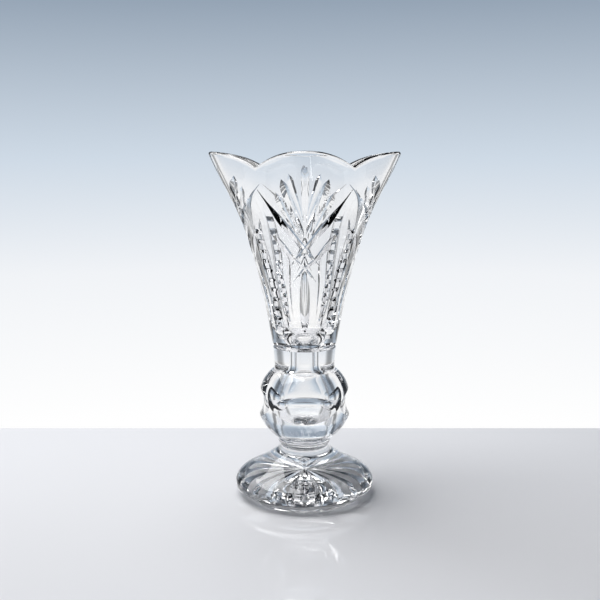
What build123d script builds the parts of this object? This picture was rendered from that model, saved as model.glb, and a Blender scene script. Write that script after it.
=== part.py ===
"""Cut crystal vase: lobed trumpet bowl, collar neck, hollow ball knop, merese and domed foot.

Millimetres, +Z up. The origin is the centre of the resting plane, and the vase's axis is Z.
One panel of the bowl faces -Y, so the lobes point along X and Y and the notched columns stand
between them. The five pieces are portions of glass that meet face to face at level joints.
"""
from build123d import *
import math
import os

# Heights of the joints between the pieces
FOOT_TOP = 32.0
MERESE_TOP = 34.4
KNOP_TOP = 76.5
NECK_TOP = 91.3

# Rim: four lobes with a notch between neighbours
LOBES = 4
LOBE_ANGLE = 360 / LOBES
RIM_TOP = 204.0
RIM_NOTCH = 195.2
RIM_HALF_SPAN = 27.4

# Foot: domed top, bevelled edge, and a star cut in the domed recess underneath
FOOT_CONTACT = 33.4
FOOT_WIDEST = (41.4, 8.4)
FOOT_EDGE_TOP = (40.2, 11.8)
FOOT_EDGE_BOTTOM = (41.0, 6.2)
DOME_CURVE = [(37.0, 15.0), (28.0, 20.0), (19.4, 25.4), (15.6, 28.9)]
LAND_WIDTH = 1.4
KICK_DEPTH = 1.6
KICK_SLOPE = 1.2
KICK_RISE = 5.0
STAR_RAYS = 20
STAR_HALF_WIDTH = 2.5
STAR_DEPTH = 2.6
STAR_STATIONS = [(2.0, 0.08), (13.0, 0.52), (25.0, 1.0), (29.2, 0.4)]
STAR_CLEARANCE = 1.0

# Merese, ball knop and neck. A point is a radius and a height.
MERESE_RADIUS = 15.5
MERESE_CORE = 14.2
BORE_RADIUS = 5.8
BORE_BOTTOM = (BORE_RADIUS, 81.0)
BORE_FLARE = (6.0, 78.5)
BORE_MOUTH = (6.5, KNOP_TOP)
NECK_WAIST = (17.7, 79.0)
NECK_FILLET = (18.0, 77.6)
NECK_JOINT_RADIUS = 18.7
NECK_TOP_RADIUS = 18.6
RING_GROOVE = 0.8
RING_GROOVE_REACH = 1.2
BORE_GROOVE = 2.2
BORE_GROOVE_REACH = 1.4
BALL_CURVE = [
    (NECK_JOINT_RADIUS, KNOP_TOP),
    (20.7, 75.0),
    (24.2, 70.4),
    (26.4, 64.5),
    (27.4, 57.0),
    (26.5, 48.5),
]
CONE_MIDDLE = (20.9, 39.8)
CAVITY_CURVE = [
    BORE_MOUTH,
    (7.0, 75.0),
    (10.5, 69.5),
    (14.5, 62.5),
    (15.0, 53.0),
    (12.5, 41.5),
    (7.0, 38.5),
    (0, 37.0),
]
THUMBPRINTS = 4
THUMBPRINT_HEIGHT = 58.0
THUMBPRINT_BOTTOM = 24.5
THUMBPRINT_PLAN = 44.5
THUMBPRINT_WHEEL = 18.0

# Bowl surfaces, one row a level: height, radius at a lobe, radius at a column
OUTER_LEVELS = [
    (NECK_TOP, 18.6, 18.6),
    (103.0, 20.8, 20.4),
    (118.0, 23.7, 23.4),
    (134.0, 27.4, 27.6),
    (149.0, 31.1, 33.2),
    (163.0, 36.0, 37.2),
    (179.0, 43.8, 38.2),
    (192.0, 50.4, 38.6),
    (206.0, 56.8, 39.4),
]
INNER_LEVELS = [
    (NECK_TOP + 1.0, BORE_RADIUS, BORE_RADIUS),
    (98.0, 9.8, 9.8),
    (107.0, 14.4, 14.4),
    (122.0, 19.2, 19.2),
    (138.0, 23.6, 23.6),
    (153.0, 28.2, 28.8),
    (167.0, 34.2, 32.6),
    (180.0, 41.0, 34.6),
    (193.0, 48.0, 35.6),
    (206.0, 54.0, 36.6),
]

# Plan of the bowl: how blunt a lobe's corner is, and the angle at which its arc meets that of the side
NOSE = 0.25
CORNER_ANGLE = 12

# Cuts. Each station of a cut is its angle from the panel's middle, its height and its depth.
WHEEL_SLOPE = 1.3
MITRE_SLOPE = 0.9
LEAF_SLOPE = 2.2
CUT_CLEARANCE = 2.5
NOTCHES = 12
NOTCH_LOW = 98.5
NOTCH_PITCH = 5.6
NOTCH_DEPTH = 1.5
NOTCH_SLOPE = 0.9
COLUMN_HALF_WIDTH = 2.8
COLUMN_TOP = 167.0
MITRE_DEPTH = 0.9
UPPER_MITRE = [
    (43, 183.0, 0.2),
    (34, 177.0, 0.6),
    (27, 171.8, 1.5),
    (20, 166.0, 2.3),
    (12, 159.5, 2.0),
    (3, 153.0, 1.2),
    (-8, 145.5, 1.0),
    (-18, 139.5, -0.2),
]
LOWER_MITRE = [
    (31, 160.0, 0.2),
    (25, 155.5, 1.8),
    (18, 149.5, 1.9),
    (10, 144.0, 1.2),
    (0, 139.5, 1.0),
    (-18, 129.0, -0.2),
]
SIDE_MITRE = [(31, 147.0, -0.2), (28, 134.0, 0.9), (26, 116.0, 1.0), (26, 100.0, -0.2)]
FAN_LEAVES = [
    [(0, 157.0, 0.2), (0, 172.0, 0.7), (0, 186.0, 1.3), (0, 192.0, 1.0), (0, 196.0, -0.2)],
    [(3, 157.0, 0.2), (9.5, 172.0, 0.7), (14.5, 182.5, 1.3), (16.2, 186.5, 1.0), (17.6, 189.6, -0.2)],
    [(6, 158.5, 0.2), (14, 168.0, 0.6), (20.0, 176.5, 1.0), (22, 179.5, 0.8), (23.8, 182.6, -0.2)],
]
TALL_LEAF = [(0, 138.0, -0.2), (0, 130.0, 1.9), (0, 118.0, 2.4), (0, 108.0, 1.9), (0, 100.5, -0.2)]


def polar(radius, degrees):
    """Point in plan at a radius and an angle."""
    turn = math.radians(degrees)
    return radius * math.cos(turn), radius * math.sin(turn)


def plan_radius(angle, lobe_radius, column_radius):
    """Radius in plan at an angle from a lobe's middle: four corners, or round where the radii agree."""
    fall = math.log((1 + NOSE) / (1 + math.hypot(1, NOSE)))
    power = math.log(column_radius / lobe_radius) / fall
    swell = (1 + NOSE) / (1 + math.hypot(math.sin(2 * math.radians(angle)), NOSE))
    return lobe_radius * swell ** power


def lobed_section(height, lobe_radius, column_radius):
    """Level outline of a short arc round each lobe's corner and a long arc across each column."""
    def plan_point(angle):
        return Vector(*polar(plan_radius(angle, lobe_radius, column_radius), angle), height)

    arcs = []
    for lobe in range(LOBES):
        middle = lobe * LOBE_ANGLE
        ends = (middle - CORNER_ANGLE, middle + CORNER_ANGLE, middle + LOBE_ANGLE - CORNER_ANGLE)
        corner = (ends[0], middle, ends[1])
        side = (ends[1], middle + LOBE_ANGLE / 2, ends[2])
        for arc in (corner, side):
            arcs.append(Edge.make_three_point_arc(*[plan_point(angle) for angle in arc]))
    return Face(Wire(arcs))


def lobed_solid(levels):
    """Smooth solid through the lobed outlines of a list of levels."""
    return loft([lobed_section(*level) for level in levels])


def outer_radius(angle, height):
    """Radius of the uncut bowl at an angle from a lobe's middle, on straight lines between levels."""
    for low, high in zip(OUTER_LEVELS, OUTER_LEVELS[1:]):
        if height <= high[0]:
            break
    share = (height - low[0]) / (high[0] - low[0])
    lobe, column = (low[k] + share * (high[k] - low[k]) for k in (1, 2))
    return plan_radius(angle, lobe, column)


def surface_point(angle, height, depth):
    """Point at a depth under the uncut bowl, in the frame of the panel that faces +X."""
    x, y = polar(outer_radius(angle, height) - depth, angle)
    return Vector(x, y, height)


def wheel_cut(stations, slope=WHEEL_SLOPE):
    """V-shaped cut of a wheel whose edge passes through the stations."""
    keel = [surface_point(*station) for station in stations]
    sections = []
    for place, point in enumerate(keel):
        before = keel[max(place - 1, 0)]
        after = keel[min(place + 1, len(keel) - 1)]
        outward = Vector(point.X, point.Y, 0).normalized()
        across = (after - before).cross(outward).normalized()
        rise = CUT_CLEARANCE + max(station[2] for station in stations)
        left = point + outward * rise - across * rise * slope
        right = point + outward * rise + across * rise * slope
        sections.append(Wire.make_polygon([point, left, right], close=True))
    return Solid.make_loft(sections, ruled=True)


def mirrored(stations):
    """The same cut on the other side of the panel's middle."""
    return [(-angle, height, depth) for angle, height, depth in stations]


def column_side(height):
    """Angle between a panel's middle and the nearer side of its column."""
    return LOBE_ANGLE / 2 - math.degrees(COLUMN_HALF_WIDTH / outer_radius(LOBE_ANGLE / 2, height))


def column_cuts():
    """Level notches over the column at +45 degrees, and the upright mitre cuts on its two sides."""
    cuts = []
    half = LOBE_ANGLE / 2
    for step in range(NOTCHES):
        height = NOTCH_LOW + step * NOTCH_PITCH
        side = column_side(height)
        near = [(side, height, NOTCH_DEPTH), (half, height, NOTCH_DEPTH)]
        far = [(-half, height, NOTCH_DEPTH), (-side, height, NOTCH_DEPTH)]
        cuts.append(wheel_cut(near, NOTCH_SLOPE))
        cuts.append(Rot(Z=LOBE_ANGLE) * wheel_cut(far, NOTCH_SLOPE))
    low = NOTCH_LOW - NOTCH_PITCH
    middle = (low + COLUMN_TOP) / 2
    side_cut = [(column_side(height), height, MITRE_DEPTH) for height in (low, middle, COLUMN_TOP)]
    cuts.append(wheel_cut(side_cut))
    cuts.append(Rot(Z=LOBE_ANGLE) * wheel_cut(mirrored(side_cut)))
    return cuts


def panel_cuts():
    """Crossed mitre cuts, a fan of five leaves above them and a tall leaf below."""
    cuts = [wheel_cut(FAN_LEAVES[0], LEAF_SLOPE), wheel_cut(TALL_LEAF)]
    paired = [(UPPER_MITRE, MITRE_SLOPE), (LOWER_MITRE, MITRE_SLOPE), (SIDE_MITRE, WHEEL_SLOPE)]
    paired += [(leaf, LEAF_SLOPE) for leaf in FAN_LEAVES[1:]]
    for stations, slope in paired:
        cuts.append(wheel_cut(stations, slope))
        cuts.append(wheel_cut(mirrored(stations), slope))
    return cuts


def scallop_envelope():
    """Everything under the scalloped rim: one arched prism for each lobe, joined at the notches."""
    reach = 3 * RIM_HALF_SPAN
    half = RIM_HALF_SPAN
    sides = Polyline((half, RIM_NOTCH), (reach, RIM_NOTCH), (reach, 0), (-reach, 0), (-reach, RIM_NOTCH),
                     (-half, RIM_NOTCH))
    crown = ThreePointArc((-half, RIM_NOTCH), (0, RIM_TOP), (half, RIM_NOTCH))
    prism = extrude(Plane.XZ * make_face([*sides.edges(), crown]), reach)
    wedge = extrude(make_face(Polyline((0, 0), (-reach, -reach), (reach, -reach), close=True)), RIM_TOP)
    lobe = prism & wedge
    envelope = lobe
    for number in range(1, LOBES):
        envelope += Rot(Z=number * LOBE_ANGLE) * lobe
    return envelope


def flared_bowl():
    """Lobed trumpet with a scalloped rim, cut panels and four notched columns."""
    bowl = (lobed_solid(OUTER_LEVELS) - lobed_solid(INNER_LEVELS)) & scallop_envelope()
    for number in range(LOBES):
        turn = Rot(Z=number * LOBE_ANGLE)
        bowl -= [turn * cut for cut in column_cuts() + panel_cuts()]
    bowl -= [turned(ring_groove()), turned(bore_groove())]
    return max(bowl.solids(), key=lambda solid: solid.volume)


def ring_groove():
    """Half outline of the bowl's share of the groove outside its joint with the neck."""
    bottom = (NECK_TOP_RADIUS - RING_GROOVE, NECK_TOP)
    level = (NECK_TOP_RADIUS + RING_GROOVE, NECK_TOP)
    above = (NECK_TOP_RADIUS + RING_GROOVE, NECK_TOP + 2 * RING_GROOVE_REACH)
    return Polyline(bottom, level, above, close=True)


def bore_groove():
    """Half outline of the bowl's share of the bore and of the groove inside its joint with the neck."""
    bottom = (BORE_RADIUS + BORE_GROOVE, NECK_TOP)
    above = (BORE_RADIUS, NECK_TOP + BORE_GROOVE_REACH)
    return Polyline((0, NECK_TOP), bottom, above, (0, above[1]), close=True)


def turned(outline):
    """Solid of revolution of a half outline given as radius and height."""
    return revolve(Plane.XZ * make_face(outline), Axis.Z)


def neck():
    """Collar with a bore that flares into the ball, and its share of the grooves at the upper joint."""
    outside = Polyline(
        BORE_BOTTOM,
        (BORE_RADIUS, NECK_TOP - BORE_GROOVE_REACH),
        (BORE_RADIUS + BORE_GROOVE, NECK_TOP),
        (NECK_TOP_RADIUS - RING_GROOVE, NECK_TOP),
        (NECK_TOP_RADIUS, NECK_TOP - RING_GROOVE_REACH),
        NECK_WAIST,
    )
    joint_edge = (NECK_JOINT_RADIUS, KNOP_TOP)
    fillet = ThreePointArc(NECK_WAIST, NECK_FILLET, joint_edge)
    bottom = Line(joint_edge, BORE_MOUTH)
    flare = ThreePointArc(BORE_MOUTH, BORE_FLARE, BORE_BOTTOM)
    return turned([*outside.edges(), fillet, bottom, flare])


def thumbprint():
    """Ring-shaped wheel that leaves one oval hollow on the ball, facing +X."""
    ring = Torus(THUMBPRINT_PLAN + THUMBPRINT_WHEEL, THUMBPRINT_WHEEL)
    return Pos(THUMBPRINT_BOTTOM - THUMBPRINT_PLAN, 0, THUMBPRINT_HEIGHT) * ring


def ball_knop():
    """Hollow ball, coned underneath, with the oval thumbprints and a cavity open to the neck."""
    ball = Spline(*BALL_CURVE)
    under = ThreePointArc(BALL_CURVE[-1], CONE_MIDDLE, (MERESE_CORE, MERESE_TOP))
    cavity = Spline(*CAVITY_CURVE, tangents=[(0, -1), (-1, 0)])
    axis = Polyline(CAVITY_CURVE[-1], (0, MERESE_TOP), (MERESE_CORE, MERESE_TOP))
    top = Line(CAVITY_CURVE[0], BALL_CURVE[0])
    knop = turned([ball, under, cavity, top, *axis.edges()])
    return knop - [Rot(Z=number * 360 / THUMBPRINTS) * thumbprint() for number in range(THUMBPRINTS)]


def merese():
    """Thin disc with a rounded edge between the knop and the foot."""
    side = Polyline((MERESE_CORE, FOOT_TOP), (0, FOOT_TOP), (0, MERESE_TOP), (MERESE_CORE, MERESE_TOP))
    middle = (MERESE_RADIUS, (FOOT_TOP + MERESE_TOP) / 2)
    edge = ThreePointArc((MERESE_CORE, MERESE_TOP), middle, (MERESE_CORE, FOOT_TOP))
    return turned([*side.edges(), edge])


def recess_height(radius):
    """Height of the domed recess over the table."""
    edge = FOOT_CONTACT - LAND_WIDTH - KICK_SLOPE
    return KICK_DEPTH + KICK_RISE * (1 - (radius / edge) ** 2)


def star_ray():
    """One ray of the star: a V cut that widens from the middle of the foot and runs out at its edge."""
    sections = []
    for radius, share in STAR_STATIONS:
        depth = STAR_DEPTH * share
        recess = recess_height(radius)
        half = STAR_HALF_WIDTH * share * (depth + STAR_CLEARANCE) / depth
        low = recess - STAR_CLEARANCE
        corners = [(radius, -half, low), (radius, half, low), (radius, 0, recess + depth)]
        sections.append(Wire.make_polygon([Vector(*corner) for corner in corners], close=True))
    return Solid.make_loft(sections, ruled=True)


def foot():
    """Domed foot with a bevelled edge, standing on a narrow land round its starred recess."""
    land = FOOT_CONTACT - LAND_WIDTH
    kick = land - KICK_SLOPE
    recess = ThreePointArc(*[(radius, recess_height(radius)) for radius in (0, kick / 2, kick)])
    base = Polyline((kick, recess_height(kick)), (land, 0), (FOOT_CONTACT, 0), FOOT_EDGE_BOTTOM)
    edge = ThreePointArc(FOOT_EDGE_BOTTOM, FOOT_WIDEST, FOOT_EDGE_TOP)
    dome = Spline(FOOT_EDGE_TOP, *DOME_CURVE, (MERESE_CORE, FOOT_TOP))
    top = Polyline((MERESE_CORE, FOOT_TOP), (0, FOOT_TOP), (0, recess_height(0)))
    blank = turned([recess, *base.edges(), edge, dome, *top.edges()])
    return blank - [Rot(Z=number * 360 / STAR_RAYS) * star_ray() for number in range(STAR_RAYS)]


if __name__ == "__main__":
    os.makedirs("parts", exist_ok=True)
    for piece in (flared_bowl, neck, ball_knop, merese, foot):
        export_step(piece(), f"parts/{piece.__name__}.step")
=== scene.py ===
"""Cut crystal vase: the visible glass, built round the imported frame.

Shapes are worked out in millimetres and written to the meshes in metres. The vase's axis is Z and the
panel that faces the camera looks along -Y. Every cut is made as a wheel makes it: a V-shaped edge is
led along the glass at a varying depth, so a cut is wide where it is deep and runs out to a point.
"""
import bmesh
import bpy
import math
import numpy as np
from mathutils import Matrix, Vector


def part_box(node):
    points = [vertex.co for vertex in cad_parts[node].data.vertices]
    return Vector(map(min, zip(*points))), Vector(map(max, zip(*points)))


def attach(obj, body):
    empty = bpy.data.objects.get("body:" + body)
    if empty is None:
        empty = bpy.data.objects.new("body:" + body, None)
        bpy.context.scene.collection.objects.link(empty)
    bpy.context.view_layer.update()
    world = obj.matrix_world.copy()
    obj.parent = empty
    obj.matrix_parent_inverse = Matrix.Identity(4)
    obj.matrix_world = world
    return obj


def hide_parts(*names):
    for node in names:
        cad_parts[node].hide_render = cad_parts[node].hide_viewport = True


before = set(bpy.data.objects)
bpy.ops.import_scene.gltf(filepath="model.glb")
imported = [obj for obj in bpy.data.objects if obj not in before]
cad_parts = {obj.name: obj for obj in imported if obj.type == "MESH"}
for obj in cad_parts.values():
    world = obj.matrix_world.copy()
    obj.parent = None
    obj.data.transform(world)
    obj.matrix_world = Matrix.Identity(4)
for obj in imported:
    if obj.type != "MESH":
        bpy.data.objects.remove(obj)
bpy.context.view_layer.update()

MM = 0.001
GLASS, JOINT = 0, 1


def node_top(node):
    """Height of a CAD node's top, in millimetres."""
    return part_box(node)[1][2] / MM


# Heights of the joints between the pieces, read from the frame
FOOT_TOP = node_top("foot")
MERESE_TOP = node_top("merese")
KNOP_TOP = node_top("ball_knop")
NECK_TOP = node_top("neck")
RIM_TOP = node_top("flared_bowl")

# Plan and rim of the bowl
LOBES = 4
LOBE_ANGLE = 360 / LOBES
FRONT = -90
NOSE = 0.25
ARCH_HALF = 27.4
ARCH_RISE = 8.8
ARCH_POWER = 2.4
RIM_ROUND = 1.3
RIM_PASSES = 12

# Bowl surfaces: height, radius at a lobe, radius at a column
BORE_RADIUS = 5.8
OUTER_LEVELS = [
    (NECK_TOP, 18.6, 18.6),
    (103.0, 20.8, 20.4),
    (118.0, 23.7, 23.4),
    (134.0, 27.4, 27.6),
    (149.0, 31.1, 33.2),
    (163.0, 36.0, 37.2),
    (179.0, 43.8, 38.2),
    (192.0, 50.4, 38.6),
    (206.0, 56.8, 39.4),
]
INNER_LEVELS = [
    (NECK_TOP + 1.0, BORE_RADIUS, BORE_RADIUS),
    (98.0, 9.8, 9.8),
    (107.0, 14.4, 14.4),
    (122.0, 19.2, 19.2),
    (138.0, 23.6, 23.6),
    (153.0, 28.2, 28.8),
    (167.0, 34.2, 32.6),
    (180.0, 41.0, 34.6),
    (193.0, 48.0, 35.6),
    (206.0, 54.0, 36.6),
]

# How finely the bowl is stepped, and how near its normal's points are, in degrees or millimetres
BOWL_SIDES = 256
OUTER_RINGS = 96
INNER_RINGS = 64
RIM_RINGS = 6
NEARBY = 0.05

# Neck, ball knop, merese and foot. A point is a radius and a height.
NECK_SIDE = (18.2, 86.0)
NECK_WAIST = (17.7, 79.0)
NECK_FILLET = (18.0, 77.6)
NECK_JOINT_RADIUS = 18.7
NECK_TOP_RADIUS = 18.6
RING_GROOVE = 0.8
RING_GROOVE_REACH = 1.2
BORE_GROOVE = 2.2
BORE_GROOVE_REACH = 1.4
BORE_MOUTH = (6.5, KNOP_TOP)
BORE_FLARE = (6.0, 78.5)
BORE_BOTTOM = (BORE_RADIUS, 81.0)
BALL_CURVE = [
    (NECK_JOINT_RADIUS, KNOP_TOP),
    (20.7, 75.0),
    (24.2, 70.4),
    (26.4, 64.5),
    (27.4, 57.0),
    (26.5, 48.5),
]
CONE_MIDDLE = (20.9, 39.8)
CAVITY_CURVE = [
    (0, 37.0),
    (7.0, 38.5),
    (12.5, 41.5),
    (15.0, 53.0),
    (14.5, 62.5),
    (10.5, 69.5),
    (7.0, 75.0),
    BORE_MOUTH,
]
THUMBPRINTS = 4
THUMBPRINT_HEIGHT = 58.0
THUMBPRINT_BOTTOM = 24.5
THUMBPRINT_PLAN = 44.5
THUMBPRINT_WHEEL = 18.0
THUMBPRINT_SWEEP = 120
THUMBPRINT_SECTIONS = 96
THUMBPRINT_SIDES = 160
MERESE_RADIUS = 15.5
MERESE_CORE = 14.2
FOOT_CONTACT = 33.4
FOOT_WIDEST = (41.4, 8.4)
FOOT_EDGE_TOP = (40.2, 11.8)
FOOT_EDGE_BOTTOM = (41.0, 6.2)
DOME_CURVE = [
    (MERESE_CORE, FOOT_TOP),
    (15.6, 28.9),
    (19.4, 25.4),
    (28.0, 20.0),
    (37.0, 15.0),
    FOOT_EDGE_TOP,
]
LAND_WIDTH = 1.4
KICK_DEPTH = 1.6
KICK_SLOPE = 1.2
KICK_RISE = 5.0
STAR_RAYS = 20
STAR_DEPTH = 2.6
STAR_HALF_WIDTH = 2.5
STAR_NARROWEST = 0.02
STAR_FULLEST = 0.9
STAR_TURN_IN = 25.0
STAR_END = 30.2

# Radii of the underside's rings of points, closest together where the rays run out
STAR_RINGS = (STAR_END, 30.0, 29.6, 29.0, 28.2, 27.2, 26.0, STAR_TURN_IN, 20, 15, 10, 5, 1)

# How finely the turned pieces are stepped
LATHE_SIDES = 192
RAY_STEPS = 8
FILLET_STEPS = 8
EDGE_STEPS = 10
NECK_STEPS = 10
CONE_STEPS = 20
DOME_STEPS = 48
BALL_STEPS = 50
CAVITY_STEPS = 64

# Cuts. A station is its angle from the panel's middle, its height and its depth, which is negative
# where the cut has run out of the glass.
WHEEL_SLOPE = 1.3
MITRE_SLOPE = 0.9
LEAF_SLOPE = 2.2
CLEARANCE = 0.6
CUT_STEPS = 28
NOTCHES = 12
NOTCH_LOW = 98.5
NOTCH_PITCH = 5.6
NOTCH_DEPTH = 1.5
NOTCH_SLOPE = 0.9
COLUMN_HALF_WIDTH = 2.8
COLUMN_TOP = 167.0
MITRE_DEPTH = 0.9
RUN_OUT = 0.2
UPPER_MITRE = [
    (43, 183.0, 0.2),
    (34, 177.0, 0.6),
    (27, 171.8, 1.5),
    (20, 166.0, 2.3),
    (12, 159.5, 2.0),
    (3, 153.0, 1.2),
    (-8, 145.5, 1.0),
    (-18, 139.5, -0.2),
]
LOWER_MITRE = [
    (31, 160.0, 0.2),
    (25, 155.5, 1.8),
    (18, 149.5, 1.9),
    (10, 144.0, 1.2),
    (0, 139.5, 1.0),
    (-18, 129.0, -0.2),
]
SIDE_MITRE = [(31, 147.0, -0.2), (28, 134.0, 0.9), (26, 116.0, 1.0), (26, 100.0, -0.2)]
FAN_LEAVES = [
    [(0, 157.0, 0.2), (0, 172.0, 0.7), (0, 186.0, 1.3), (0, 192.0, 1.0), (0, 196.0, -0.2)],
    [(3, 157.0, 0.2), (9.5, 172.0, 0.7), (14.5, 182.5, 1.3), (16.2, 186.5, 1.0), (17.6, 189.6, -0.2)],
    [(6, 158.5, 0.2), (14, 168.0, 0.6), (20.0, 176.5, 1.0), (22, 179.5, 0.8), (23.8, 182.6, -0.2)],
]
TALL_LEAF = [(0, 138.0, -0.2), (0, 130.0, 1.9), (0, 118.0, 2.4), (0, 108.0, 1.9), (0, 100.5, -0.2)]
SHARP_EDGE = math.radians(24)

# Glass
GLASS_IOR = 1.55
PATCH_SCALE = 60.0
PATCH_DETAIL = 2.0
PATCH_RANGE = (0.45, 0.8)
PATCH_ROUGHNESS = 0.03
RIPPLE_SCALE = 90.0
RIPPLE_STRENGTH = 0.04
RIPPLE_DISTANCE = 0.0005

# Studio. Places and sizes are in metres, the tilt in degrees, and the lens and sensor in millimetres.
TABLE_BACK = 0.134
TABLE_REACH = 1.6
TABLE_PAINTED_SHADE_START = -0.3
# Table colours: painted shade at the front and painted light at the back, standing in for how the
# backdrop's light falls on the table
TABLE_FRONT_PAINTED_SHADE = (0.75, 0.76, 0.79, 1)
TABLE_BACK_PAINTED_LIGHT = (0.9, 0.9, 0.92, 1)
TABLE_ROUGHNESS = 0.06

# Surround: the upward part of the direction looked along, and the colour there
SKY = [
    (-0.27, (1.0, 1.0, 1.0)),
    (-0.12, (0.88, 0.9, 0.93)),
    (0.0, (0.62, 0.7, 0.79)),
    (0.16, (0.3, 0.37, 0.46)),
    (0.3, (0.3, 0.34, 0.4)),
    (0.4, (0.04, 0.05, 0.06)),
    (0.62, (0.02, 0.02, 0.03)),
    (0.9, (0.01, 0.01, 0.015)),
]
GAP_LIGHT = 0.3
GAP_WIDTH = 0.25

# Key light and camera
KEY_PLACE = (-0.35, 0.1, 1.0)
KEY_TARGET = (0, 0, 0)
KEY_SIZE = 1.0
KEY_POWER = 15
CAMERA_PLACE = (-0.0027, -0.541, 0.2003)
CAMERA_TILT = 8.68
CAMERA_LENS = 55.8
CAMERA_SENSOR = 36.0
LIGHT_BOUNCES = 32


# ---------------------------------------------------------------- curves and surfaces


def smooth_curve(places, values):
    """Natural cubic spline through the values, as a function that takes numbers or arrays."""
    x = np.asarray(places, float)
    y = np.asarray(values, float)
    count = len(x)
    gap = np.diff(x)
    system = np.eye(count)
    load = np.zeros(count)
    for i in range(1, count - 1):
        system[i, i - 1:i + 2] = gap[i - 1], 2 * (gap[i - 1] + gap[i]), gap[i]
        load[i] = 6 * ((y[i + 1] - y[i]) / gap[i] - (y[i] - y[i - 1]) / gap[i - 1])
    bend = np.linalg.solve(system, load)

    def curve(at):
        at = np.asarray(at, float)
        k = np.clip(np.searchsorted(x, at) - 1, 0, count - 2)
        t = at - x[k]
        slope = (y[k + 1] - y[k]) / gap[k] - gap[k] * (2 * bend[k] + bend[k + 1]) / 6
        return y[k] + t * slope + t ** 2 * bend[k] / 2 + t ** 3 * (bend[k + 1] - bend[k]) / (6 * gap[k])

    return curve


def lobed_surface(levels):
    """Radius at an angle in degrees and a height: round low down, four drawn-out corners higher up."""
    heights, lobes, columns = zip(*levels)
    lobe_curve = smooth_curve(heights, lobes)
    column_curve = smooth_curve(heights, columns)
    fall = math.log((1 + NOSE) / (1 + math.hypot(1, NOSE)))

    def radius(angle, height):
        lobe = lobe_curve(height)
        power = np.log(column_curve(height) / lobe) / fall
        turn = np.radians(np.asarray(angle, float))
        return lobe * ((1 + NOSE) / (1 + np.hypot(np.sin(2 * turn), NOSE))) ** power

    return radius


outer_radius = lobed_surface(OUTER_LEVELS)
inner_radius = lobed_surface(INNER_LEVELS)


def rim_height(radius, angle):
    """Height of the scalloped rim over each angle, where the arch stands over the bowl's own radius."""
    off = np.radians((angle + LOBE_ANGLE / 2) % LOBE_ANGLE - LOBE_ANGLE / 2)
    height = np.full_like(angle, RIM_TOP, dtype=float)
    for _ in range(RIM_PASSES):
        lateral = np.clip(np.abs(radius(angle, height) * np.sin(off)) / ARCH_HALF, 0, 1)
        height = RIM_TOP - ARCH_RISE * lateral ** ARCH_POWER
    return height


def on_circle(radius, angle, height):
    """Points at a radius and a height, at angles in degrees round the axis."""
    turn = np.radians(angle)
    return np.stack([radius * np.cos(turn), radius * np.sin(turn), height + 0 * turn], axis=-1)


def bowl_point(angle, height):
    """Point of the uncut bowl, with the angle from the front panel's middle."""
    return Vector(on_circle(outer_radius(angle, height), np.float64(angle + FRONT), height))


def bowl_normal(angle, height):
    """Outward normal of the uncut bowl, from four points nearby."""
    along = bowl_point(angle + NEARBY, height) - bowl_point(angle - NEARBY, height)
    up = bowl_point(angle, height + NEARBY) - bowl_point(angle, height - NEARBY)
    return along.cross(up).normalized()


# ---------------------------------------------------------------- mesh building


def ring_faces(rings, closed):
    """Faces between neighbouring rings of points; a ring of one point is a pole."""
    starts = np.cumsum([0] + [len(ring) for ring in rings])
    pairs = list(zip(range(len(rings)), range(1, len(rings))))
    if closed:
        pairs.append((len(rings) - 1, 0))
    faces, gaps = [], []
    for gap, (low, high) in enumerate(pairs):
        sides = max(len(rings[low]), len(rings[high]))
        for k in range(sides):
            after = (k + 1) % sides
            if len(rings[low]) == 1:
                face = (starts[low], starts[high] + after, starts[high] + k)
            elif len(rings[high]) == 1:
                face = (starts[low] + k, starts[low] + after, starts[high])
            else:
                face = (starts[low] + k, starts[low] + after, starts[high] + after, starts[high] + k)
            faces.append(tuple(int(v) for v in face))
            gaps.append(gap)
    return faces, gaps


def ring_solid(name, rings, joint_gaps, closed=False):
    """Closed solid through rings of points. The faces in joint_gaps are fused to the next piece."""
    rings = [np.atleast_2d(ring) for ring in rings]
    faces, gaps = ring_faces(rings, closed)
    mesh = bpy.data.meshes.new(name)
    mesh.from_pydata(np.vstack(rings).tolist(), [], faces)
    mesh.materials.append(crystal)
    mesh.materials.append(fused_joint)
    for polygon, gap in zip(mesh.polygons, gaps):
        polygon.material_index = JOINT if gap in joint_gaps else GLASS
    piece = bpy.data.objects.new(name, mesh)
    bpy.context.scene.collection.objects.link(piece)
    face_outwards(mesh)
    return piece


def face_outwards(mesh):
    """Make every normal of a closed mesh point out of the solid."""
    bm = bmesh.new()
    bm.from_mesh(mesh)
    bmesh.ops.recalc_face_normals(bm, faces=bm.faces)
    if bm.calc_volume(signed=True) < 0:
        bmesh.ops.reverse_faces(bm, faces=bm.faces)
    bm.to_mesh(mesh)
    bm.free()


def turned(name, outline, joint_gaps, sides=LATHE_SIDES, closed=False):
    """Solid of revolution of (radius, height) points."""
    angles = np.arange(sides) * 360 / sides
    rings = []
    for radius, height in outline:
        rings.append(on_circle(radius, angles, height) if radius > 0 else [(0, 0, height)])
    return ring_solid(name, rings, joint_gaps, closed)


def arc_through(start, middle, end, steps):
    """Points on the circular arc through three (radius, height) points, both ends included."""
    (ax, ay), (bx, by), (cx, cy) = start, middle, end
    twice = 2 * (ax * (by - cy) + bx * (cy - ay) + cx * (ay - by))
    a, b, c = ax ** 2 + ay ** 2, bx ** 2 + by ** 2, cx ** 2 + cy ** 2
    ox = (a * (by - cy) + b * (cy - ay) + c * (ay - by)) / twice
    oy = (a * (cx - bx) + b * (ax - cx) + c * (bx - ax)) / twice
    radius = math.hypot(ax - ox, ay - oy)
    first, mid, last = (math.atan2(y - oy, x - ox) for x, y in (start, middle, end))
    turn = 2 * math.pi
    span = (last - first) % turn
    if (mid - first) % turn > span:
        span -= turn
    angles = [first + span * k / steps for k in range(steps + 1)]
    return [(ox + radius * math.cos(angle), oy + radius * math.sin(angle)) for angle in angles]


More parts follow.
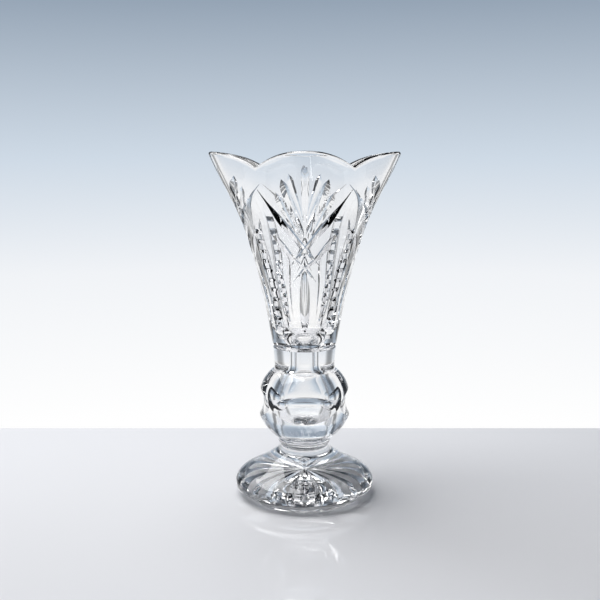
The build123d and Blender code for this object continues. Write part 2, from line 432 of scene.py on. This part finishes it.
def curve_through(points, steps):
    """Points on the smooth curve through (radius, height) points, both ends included."""
    places = range(len(points))
    radii, heights = (smooth_curve(places, values) for values in zip(*points))
    at = np.linspace(0, len(points) - 1, steps + 1)
    return list(zip(radii(at).tolist(), heights(at).tolist()))


# ---------------------------------------------------------------- cuts


def wheel_cut(stations, panel, slope=WHEEL_SLOPE):
    """Vertices and faces of one V-shaped cutter, led along the stations on one panel."""
    places = range(len(stations))
    angles, heights, depths = (smooth_curve(places, values) for values in zip(*stations))
    at = np.linspace(0, len(stations) - 1, CUT_STEPS + 1)
    path = [(float(angles(t)) + panel * LOBE_ANGLE, float(heights(t)), float(depths(t))) for t in at]
    keel = [bowl_point(angle, height) for angle, height, _ in path]
    verts = []
    for place, (angle, height, depth) in enumerate(path):
        normal = bowl_normal(angle, height)
        run = keel[min(place + 1, CUT_STEPS)] - keel[max(place - 1, 0)]
        across = run.cross(normal).normalized()
        half = (depth + CLEARANCE) * slope
        verts.append(keel[place] - normal * depth)
        verts.append(keel[place] + normal * CLEARANCE - across * half)
        verts.append(keel[place] + normal * CLEARANCE + across * half)
    faces = [(0, 1, 2), tuple(3 * CUT_STEPS + k for k in (2, 1, 0))]
    for place in range(CUT_STEPS):
        for k in range(3):
            low, side = 3 * place + k, 3 * place + (k + 1) % 3
            faces.append((low, low + 3, side + 3, side))
    return verts, faces


def cutter_object(parts):
    """One object out of cutters that don't touch each other."""
    verts, faces = [], []
    for part_verts, part_faces in parts:
        first = len(verts)
        verts += [tuple(v) for v in part_verts]
        faces += [tuple(first + v for v in face) for face in part_faces]
    mesh = bpy.data.meshes.new("cutter")
    mesh.from_pydata(verts, [], faces)
    mesh.materials.append(crystal)
    cutter = bpy.data.objects.new("cutter", mesh)
    bpy.context.scene.collection.objects.link(cutter)
    face_outwards(mesh)
    return cutter


def carve(piece, cutter):
    """Take the cutter's volume out of the piece, and remove the cutter."""
    cut = piece.modifiers.new("cut", "BOOLEAN")
    cut.operation = "DIFFERENCE"
    cut.solver = "MANIFOLD"
    cut.object = cutter
    bake_modifiers(piece)
    spent = cutter.data
    bpy.data.objects.remove(cutter)
    bpy.data.meshes.remove(spent)


def bake_modifiers(piece):
    """Replace the piece's mesh by what its modifiers make of it."""
    graph = bpy.context.evaluated_depsgraph_get()
    result = bpy.data.meshes.new_from_object(piece.evaluated_get(graph))
    piece.modifiers.clear()
    spent = piece.data
    piece.data = result
    bpy.data.meshes.remove(spent)


def mirrored(stations):
    """The same cut on the other side of the panel's middle."""
    return [(-angle, height, depth) for angle, height, depth in stations]


def column_angle(height):
    """Half the angle that a column takes up at a height."""
    return math.degrees(COLUMN_HALF_WIDTH / float(outer_radius(LOBE_ANGLE / 2, height)))


def notch(height):
    """Stations of one level notch across the column at the panel's right edge."""
    half = column_angle(height)
    middle = LOBE_ANGLE / 2
    return [(middle + share * half, height, NOTCH_DEPTH) for share in (-1, 0, 1)]


def column_side(side):
    """Stations of the upright mitre cut along one side of the column at the panel's right edge."""
    depths = [-RUN_OUT, MITRE_DEPTH, MITRE_DEPTH, MITRE_DEPTH, -RUN_OUT]
    heights = np.linspace(NOTCH_LOW - NOTCH_PITCH, COLUMN_TOP, len(depths))
    return [(LOBE_ANGLE / 2 + side * column_angle(h), float(h), d) for h, d in zip(heights, depths)]


def cut_groups():
    """Slopes and sets of cuts. The cuts of a set don't touch each other, so it is carved at one go."""
    yield WHEEL_SLOPE, [column_side(-1), column_side(1)]
    yield WHEEL_SLOPE, [SIDE_MITRE, mirrored(SIDE_MITRE)]
    yield LEAF_SLOPE, [FAN_LEAVES[0]]
    yield WHEEL_SLOPE, [TALL_LEAF]
    for stations in (UPPER_MITRE, LOWER_MITRE):
        yield MITRE_SLOPE, [stations]
        yield MITRE_SLOPE, [mirrored(stations)]
    for stations in FAN_LEAVES[1:]:
        yield LEAF_SLOPE, [stations]
        yield LEAF_SLOPE, [mirrored(stations)]


# ---------------------------------------------------------------- materials


def crystal_material():
    """Clear lead crystal with a polisher's faint ripple and slightly softer patches."""
    material = bpy.data.materials.new("crystal")
    material.use_nodes = True
    nodes, links = material.node_tree.nodes, material.node_tree.links
    shader = nodes["Principled BSDF"]
    shader.inputs["Base Color"].default_value = (1.0, 1.0, 1.0, 1.0)
    shader.inputs["Transmission Weight"].default_value = 1.0
    shader.inputs["IOR"].default_value = GLASS_IOR
    place = nodes.new("ShaderNodeTexCoord")
    patches = nodes.new("ShaderNodeTexNoise")
    patches.inputs["Scale"].default_value = PATCH_SCALE
    patches.inputs["Detail"].default_value = PATCH_DETAIL
    softness = nodes.new("ShaderNodeMapRange")
    softness.inputs["From Min"].default_value = PATCH_RANGE[0]
    softness.inputs["From Max"].default_value = PATCH_RANGE[1]
    softness.inputs["To Min"].default_value = 0.0
    softness.inputs["To Max"].default_value = PATCH_ROUGHNESS
    ripple = nodes.new("ShaderNodeTexNoise")
    ripple.inputs["Scale"].default_value = RIPPLE_SCALE
    bump = nodes.new("ShaderNodeBump")
    bump.inputs["Strength"].default_value = RIPPLE_STRENGTH
    bump.inputs["Distance"].default_value = RIPPLE_DISTANCE
    links.new(place.outputs["Object"], patches.inputs["Vector"])
    links.new(place.outputs["Object"], ripple.inputs["Vector"])
    links.new(patches.outputs["Fac"], softness.inputs["Value"])
    links.new(softness.outputs["Result"], shader.inputs["Roughness"])
    links.new(ripple.outputs["Fac"], bump.inputs["Height"])
    links.new(bump.outputs["Normal"], shader.inputs["Normal"])
    return material


def joint_material():
    """Where two portions of glass are fused there is no surface, so light passes straight through."""
    material = bpy.data.materials.new("fused_joint")
    material.use_nodes = True
    nodes, links = material.node_tree.nodes, material.node_tree.links
    nodes.remove(nodes["Principled BSDF"])
    clear = nodes.new("ShaderNodeBsdfTransparent")
    links.new(clear.outputs["BSDF"], nodes["Material Output"].inputs["Surface"])
    return material


def floor_material():
    """Pale polished table top with painted light and shade: its colour is greyer towards its front and
    lighter towards the back, where the backdrop's light falls.
    """
    material = bpy.data.materials.new("pale_table_painted_shade")
    material.use_nodes = True
    nodes, links = material.node_tree.nodes, material.node_tree.links
    shader = nodes["Principled BSDF"]
    shader.inputs["Roughness"].default_value = TABLE_ROUGHNESS
    place = nodes.new("ShaderNodeTexCoord")
    split = nodes.new("ShaderNodeSeparateXYZ")
    # Painted light and shade: the colour runs from grey at the front to lighter at the back
    depth = nodes.new("ShaderNodeMapRange")
    depth.inputs["From Min"].default_value = TABLE_PAINTED_SHADE_START
    depth.inputs["From Max"].default_value = TABLE_BACK
    fade = nodes.new("ShaderNodeValToRGB")
    fade.color_ramp.elements[0].color = TABLE_FRONT_PAINTED_SHADE
    fade.color_ramp.elements[1].color = TABLE_BACK_PAINTED_LIGHT
    links.new(place.outputs["Object"], split.inputs["Vector"])
    links.new(split.outputs["Y"], depth.inputs["Value"])
    links.new(depth.outputs["Result"], fade.inputs["Fac"])
    links.new(fade.outputs["Color"], shader.inputs["Base Color"])
    return material


crystal = crystal_material()
fused_joint = joint_material()


# ---------------------------------------------------------------- the five pieces


def flared_bowl():
    """Trumpet bowl with its scalloped rim, and the cut panels and columns."""
    angles = np.arange(BOWL_SIDES) * 360 / BOWL_SIDES
    outer_rim = rim_height(outer_radius, angles) - RIM_ROUND
    inner_rim = rim_height(inner_radius, angles) - RIM_ROUND
    rings = [on_circle(outer_radius(0, NECK_TOP) - RING_GROOVE, angles, NECK_TOP)]
    low = NECK_TOP + RING_GROOVE_REACH
    for share in np.linspace(0, 1, OUTER_RINGS):
        height = low + (outer_rim - low) * share
        rings.append(on_circle(outer_radius(angles, height), angles, height))
    outer_edge = rings[-1]
    inner_edge = on_circle(inner_radius(angles, inner_rim), angles, inner_rim)
    for step in range(1, RIM_RINGS):
        turn = math.pi * step / RIM_RINGS
        share = (1 - math.cos(turn)) / 2
        lift = np.array([0, 0, RIM_ROUND * math.sin(turn)])
        rings.append(outer_edge + (inner_edge - outer_edge) * share + lift)
    for share in np.linspace(0, 1, INNER_RINGS):
        height = inner_rim + (NECK_TOP + BORE_GROOVE_REACH - inner_rim) * share
        rings.append(on_circle(inner_radius(angles, height), angles, height))
    rings.append(on_circle(BORE_RADIUS + BORE_GROOVE, angles, NECK_TOP))
    piece = ring_solid("flared_bowl_glass", rings, {len(rings) - 1}, closed=True)
    notches = [notch(NOTCH_LOW + k * NOTCH_PITCH) for k in range(NOTCHES)]
    parts = [wheel_cut(stations, panel, NOTCH_SLOPE) for panel in range(LOBES) for stations in notches]
    carve(piece, cutter_object(parts))
    for slope, group in cut_groups():
        parts = [wheel_cut(stations, panel, slope) for panel in range(LOBES) for stations in group]
        carve(piece, cutter_object(parts))
    return piece


def neck():
    """Collar with a bore that flares into the ball, and its share of the grooves round the upper joint."""
    top = [(BORE_RADIUS + BORE_GROOVE, NECK_TOP), (NECK_TOP_RADIUS - RING_GROOVE, NECK_TOP)]
    groove_end = (NECK_TOP_RADIUS, NECK_TOP - RING_GROOVE_REACH)
    side = curve_through([groove_end, NECK_SIDE, NECK_WAIST], NECK_STEPS)
    fillet = arc_through(NECK_WAIST, NECK_FILLET, (NECK_JOINT_RADIUS, KNOP_TOP), FILLET_STEPS)
    flare = arc_through(BORE_MOUTH, BORE_FLARE, BORE_BOTTOM, FILLET_STEPS)
    outside = top[1:] + side + fillet[1:]
    outline = top[:1] + outside + flare + [(BORE_RADIUS, NECK_TOP - BORE_GROOVE_REACH)]
    return turned("neck_glass", outline, {0, len(outside)}, closed=True)


def knop_outline():
    """Half outline of the ball: from the joint with the neck, outside, under, and up the cavity."""
    ball = curve_through(BALL_CURVE, BALL_STEPS)
    under = arc_through(BALL_CURVE[-1], CONE_MIDDLE, (MERESE_CORE, MERESE_TOP), CONE_STEPS)
    return ball + under[1:], curve_through(CAVITY_CURVE, CAVITY_STEPS)


def thumbprint(number):
    """Part of a ring-shaped wheel that leaves one oval hollow on the ball."""
    off_axis = THUMBPRINT_BOTTOM - THUMBPRINT_PLAN
    facing = math.radians(FRONT + number * 360 / THUMBPRINTS)
    swing, turns = THUMBPRINT_SECTIONS, THUMBPRINT_SIDES
    verts = []
    for step in range(swing + 1):
        plan = math.radians(-THUMBPRINT_SWEEP / 2 + THUMBPRINT_SWEEP * step / swing)
        for k in range(turns):
            around = 2 * math.pi * k / turns
            reach = THUMBPRINT_PLAN + THUMBPRINT_WHEEL * (1 - math.cos(around))
            x = off_axis + reach * math.cos(plan)
            y = reach * math.sin(plan)
            z = THUMBPRINT_HEIGHT + THUMBPRINT_WHEEL * math.sin(around)
            east = x * math.cos(facing) - y * math.sin(facing)
            north = x * math.sin(facing) + y * math.cos(facing)
            verts.append((east, north, z))
    faces = [tuple(range(turns)), tuple(swing * turns + k for k in range(turns))]
    for step in range(swing):
        for k in range(turns):
            low, side = step * turns + k, step * turns + (k + 1) % turns
            faces.append((low, low + turns, side + turns, side))
    return verts, faces


def ball_knop():
    """Hollow ball with four oval thumbprints."""
    outside, cavity = knop_outline()
    outline = outside + [(0, MERESE_TOP)] + cavity
    joints = {len(outside) - 1, len(outline) - 1}
    piece = turned("ball_knop_glass", outline, joints, closed=True)
    for number in range(THUMBPRINTS):
        carve(piece, cutter_object([thumbprint(number)]))
    return piece


def merese():
    """Thin disc with a rounded edge."""
    middle = (FOOT_TOP + MERESE_TOP) / 2
    sides = [(MERESE_CORE, MERESE_TOP), (MERESE_RADIUS, middle), (MERESE_CORE, FOOT_TOP)]
    edge = arc_through(*sides, EDGE_STEPS)
    outline = [(0, MERESE_TOP)] + edge + [(0, FOOT_TOP)]
    return turned("merese_glass", outline, {0, len(outline) - 2})


def star_ring(radius):
    """One ring of the underside: V cuts that widen and deepen from the middle, with flat recess between."""
    run_out = max(0.0, (radius - STAR_TURN_IN) / (STAR_END - STAR_TURN_IN))
    share = radius / STAR_TURN_IN * math.sqrt(max(0.0, 1 - run_out ** 2))
    half_width = max(STAR_HALF_WIDTH * share, STAR_NARROWEST)
    depth = STAR_DEPTH * share
    recess = KICK_DEPTH + KICK_RISE * (1 - (radius / STAR_END) ** 2)
    sector = 180 / STAR_RAYS
    edge = min(math.degrees(half_width / radius), STAR_FULLEST * sector)
    points = []
    for ray in range(STAR_RAYS):
        for step in range(-RAY_STEPS, RAY_STEPS):
            part = abs(step) / RAY_STEPS
            off = 2 * part * edge if part <= 0.5 else edge + (2 * part - 1) * (sector - edge)
            height = recess + depth * max(0.0, 1 - off / edge)
            angle = 2 * sector * ray + math.copysign(off, step)
            points.append(on_circle(radius, np.float64(angle), height))
    return np.array(points)


def foot():
    """Domed foot with a bevelled edge and the star cut under it."""
    land = FOOT_CONTACT - LAND_WIDTH
    dome = curve_through(DOME_CURVE, DOME_STEPS)
    edge = arc_through(FOOT_EDGE_TOP, FOOT_WIDEST, FOOT_EDGE_BOTTOM, EDGE_STEPS)
    outline = dome + edge[1:] + [(FOOT_CONTACT, 0.0), (land, 0.0), (land - KICK_SLOPE, KICK_DEPTH)]
    sides = 2 * RAY_STEPS * STAR_RAYS
    angles = (np.arange(sides) - RAY_STEPS) * 360 / sides
    rings = [[(0, 0, FOOT_TOP)]] + [on_circle(radius, angles, height) for radius, height in outline]
    for radius in STAR_RINGS:
        rings.append(star_ring(radius))
    rings.append([(0, 0, KICK_DEPTH + KICK_RISE)])
    return ring_solid("foot_glass", rings, {0})


def finish_surface(piece):
    """Smooth shading between sharp edges, in metres."""
    bm = bmesh.new()
    bm.from_mesh(piece.data)
    for face in bm.faces:
        face.smooth = True
    for edge in bm.edges:
        edge.smooth = edge.calc_face_angle(0) < SHARP_EDGE
    bmesh.ops.scale(bm, vec=(MM, MM, MM), verts=bm.verts)
    bm.to_mesh(piece.data)
    bm.free()


for make in (flared_bowl, neck, ball_knop, merese, foot):
    glass = make()
    finish_surface(glass)
    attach(glass, "root")
    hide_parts(make.__name__)


# ---------------------------------------------------------------- studio


def studio_floor():
    """Plain table top whose back edge is just behind the vase."""
    mesh = bpy.data.meshes.new("studio_floor")
    corners = [(x, y, 0) for y in (-TABLE_REACH, TABLE_BACK) for x in (-TABLE_REACH, TABLE_REACH)]
    mesh.from_pydata(corners, [], [(0, 1, 3, 2)])
    # The table's colour carries painted light and shade: lighter at the back, greyer towards the front
    mesh.materials.append(floor_material())
    floor = bpy.data.objects.new("studio_floor", mesh)
    bpy.context.scene.collection.objects.link(floor)


def panel_light(nodes, links, split):
    """Brightness round the vase: four wide light panels, and dark gaps between them at the diagonals."""

    def math_node(operation, first, second):
        node = nodes.new("ShaderNodeMath")
        node.operation = operation
        links.new(first, node.inputs[0])
        links.new(second, node.inputs[1])
        return node.outputs["Value"]

    east = math_node("MULTIPLY", split.outputs["X"], split.outputs["X"])
    north = math_node("MULTIPLY", split.outputs["Y"], split.outputs["Y"])
    aim = math_node("DIVIDE", math_node("SUBTRACT", east, north), math_node("ADD", east, north))
    panel = nodes.new("ShaderNodeMapRange")
    panel.interpolation_type = "SMOOTHSTEP"
    panel.inputs["From Min"].default_value = 0.0
    panel.inputs["From Max"].default_value = GAP_WIDTH
    panel.inputs["To Min"].default_value = GAP_LIGHT
    links.new(math_node("MULTIPLY", aim, aim), panel.inputs["Value"])
    return panel.outputs["Result"]


def studio_sky():
    """Soft surround: white low down behind the table, slate blue higher up, dark overhead."""
    world = bpy.data.worlds.new("studio")
    bpy.context.scene.world = world
    world.use_nodes = True
    nodes, links = world.node_tree.nodes, world.node_tree.links
    place = nodes.new("ShaderNodeTexCoord")
    split = nodes.new("ShaderNodeSeparateXYZ")
    height = nodes.new("ShaderNodeMapRange")
    height.inputs["From Min"].default_value = SKY[0][0]
    height.inputs["From Max"].default_value = SKY[-1][0]
    fade = nodes.new("ShaderNodeValToRGB")
    ramp = fade.color_ramp
    for number, (rise, colour) in enumerate(SKY):
        share = (rise - SKY[0][0]) / (SKY[-1][0] - SKY[0][0])
        stop = ramp.elements[number] if number < 2 else ramp.elements.new(share)
        stop.position = share
        stop.color = (*colour, 1)
    links.new(place.outputs["Generated"], split.inputs["Vector"])
    links.new(split.outputs["Z"], height.inputs["Value"])
    links.new(height.outputs["Result"], fade.inputs["Fac"])
    links.new(fade.outputs["Color"], nodes["Background"].inputs["Color"])
    links.new(panel_light(nodes, links, split), nodes["Background"].inputs["Strength"])


def soft_box(name, place, target, size, power):
    """Square soft light that points at the target."""
    light = bpy.data.lights.new(name, "AREA")
    light.size = size
    light.energy = power
    lamp = bpy.data.objects.new(name, light)
    lamp.location = place
    lamp.rotation_euler = (Vector(target) - Vector(place)).to_track_quat("-Z", "Y").to_euler()
    bpy.context.scene.collection.objects.link(lamp)


def camera():
    """Camera at the rim's height, looking slightly down."""
    data = bpy.data.cameras.new("camera")
    data.sensor_width = CAMERA_SENSOR
    data.lens = CAMERA_LENS
    eye = bpy.data.objects.new("camera", data)
    eye.location = CAMERA_PLACE
    eye.rotation_euler = (math.radians(90 - CAMERA_TILT), 0, 0)
    bpy.context.scene.collection.objects.link(eye)
    bpy.context.scene.camera = eye


studio_floor()
studio_sky()
soft_box("key", KEY_PLACE, KEY_TARGET, KEY_SIZE, KEY_POWER)
camera()
bpy.context.scene.view_settings.view_transform = "Standard"
bpy.context.scene.cycles.max_bounces = LIGHT_BOUNCES
bpy.context.scene.cycles.transmission_bounces = LIGHT_BOUNCES
bpy.context.scene.cycles.transparent_max_bounces = LIGHT_BOUNCES
